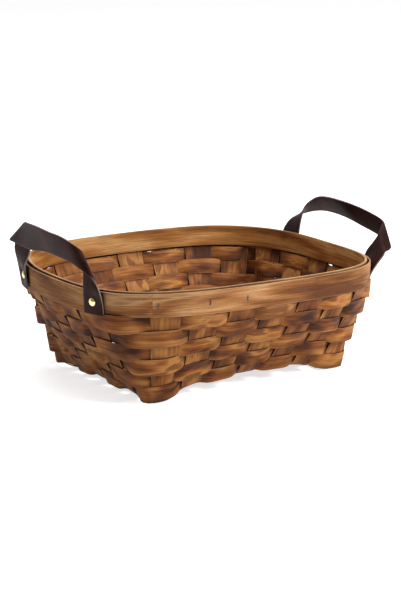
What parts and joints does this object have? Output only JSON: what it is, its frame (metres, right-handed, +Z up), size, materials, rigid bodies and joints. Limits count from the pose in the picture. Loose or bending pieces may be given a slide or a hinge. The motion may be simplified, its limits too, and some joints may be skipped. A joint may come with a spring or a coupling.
{
  "type": "woven splint basket with strap handles",
  "caption": "Low rectangular basket woven from flat wood splints, with a banded rim and a riveted leather strap handle at each end.",
  "frame": {"origin": "under the middle of the outline, level with the feet", "axes": "+X from the left handle to the right one, +Y from the front to the back, +Z up"},
  "size_m": [0.3952, 0.3034, 0.177],
  "materials": {
    "stake_wood": "stained, dry",
    "weaver_wood": "stained, dry",
    "band_wood": "stained, satin",
    "staple_steel": "dull",
    "strap_leather": "soft sheen",
    "rivet_brass": "polished"
  },
  "bodies": {
    "basket": {"cross_stake_1": "stake_wood", "cross_stake_2": "stake_wood", "cross_stake_3": "stake_wood", "cross_stake_4": "stake_wood", "cross_stake_5": "stake_wood", "cross_stake_6": "stake_wood", "cross_stake_7": "stake_wood", "long_stake_1": "stake_wood", "long_stake_2": "stake_wood", "long_stake_3": "stake_wood", "long_stake_4": "stake_wood", "long_stake_5": "stake_wood", "weaver_1": "weaver_wood", "weaver_2": "weaver_wood", "weaver_3": "weaver_wood", "weaver_4": "weaver_wood", "weaver_5": "weaver_wood", "weaver_6": "weaver_wood", "outer_rim_band": "band_wood", "inner_rim_band": "band_wood", "rim_staple_1": "staple_steel", "rim_staple_2": "staple_steel", "rim_staple_3": "staple_steel", "left_strap_tab_front": "strap_leather", "left_strap_tab_back": "strap_leather", "right_strap_tab_front": "strap_leather", "right_strap_tab_back": "strap_leather", "left_rivet_front": "rivet_brass", "left_rivet_back": "rivet_brass", "right_rivet_front": "rivet_brass", "right_rivet_back": "rivet_brass"},
    "left_handle": {"left_strap_loop": "strap_leather"},
    "right_handle": {"right_strap_loop": "strap_leather"}
  },
  "joints": [
    {"name": "left_handle_bend", "type": "hinge", "parent": "basket", "child": "left_handle", "pos_m": [-0.1774, 0.00022, 0.12301], "axis": [0, -1, 0], "range_deg": [-45, 45], "stiffness_Nm_per_rad": 0.1},
    {"name": "right_handle_bend", "type": "hinge", "parent": "basket", "child": "right_handle", "pos_m": [0.16067, 0.00022, 0.11238], "axis": [0, 1, 0], "range_deg": [-45, 30], "stiffness_Nm_per_rad": 0.1}
  ]
}
